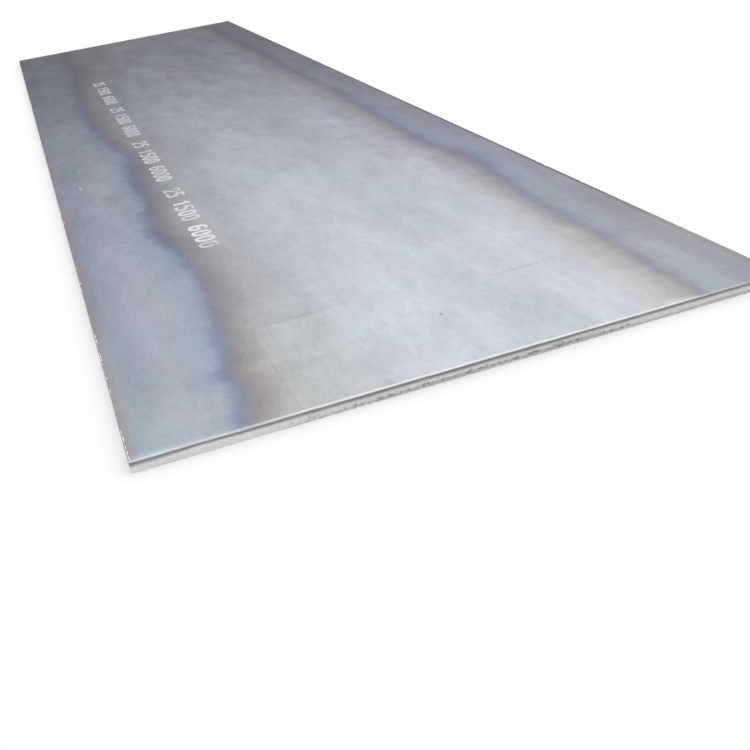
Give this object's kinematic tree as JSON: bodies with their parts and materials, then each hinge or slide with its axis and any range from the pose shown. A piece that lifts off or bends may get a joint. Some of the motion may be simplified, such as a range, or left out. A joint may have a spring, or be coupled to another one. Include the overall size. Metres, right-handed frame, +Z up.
{
  "type": "steel plate",
  "caption": "Flat rectangular hot-rolled steel plate with mill scale and sheared edges, lying flat as raw stock for cutting, welding or laying.",
  "frame": {"origin": "centre of the bottom face, which the plate lies on", "axes": "+X across the width, +Y along the rolling direction, which is the length, and +Z up through the thickness to the marked face"},
  "size_m": [1.5, 6, 0.025],
  "materials": {
    "mill_scale_steel": "hot-rolled mill scale: satin blue-grey with heat tints in wavy bands along both long edges, brighter bare steel on the sheared ends",
    "marking_paint": "matt white marking paint of the size figures on the top face, thin and uneven, with the scale showing through where it is worn"
  },
  "bodies": {
    "root": {"plate": "mill_scale_steel"}
  },
  "joints": []
}
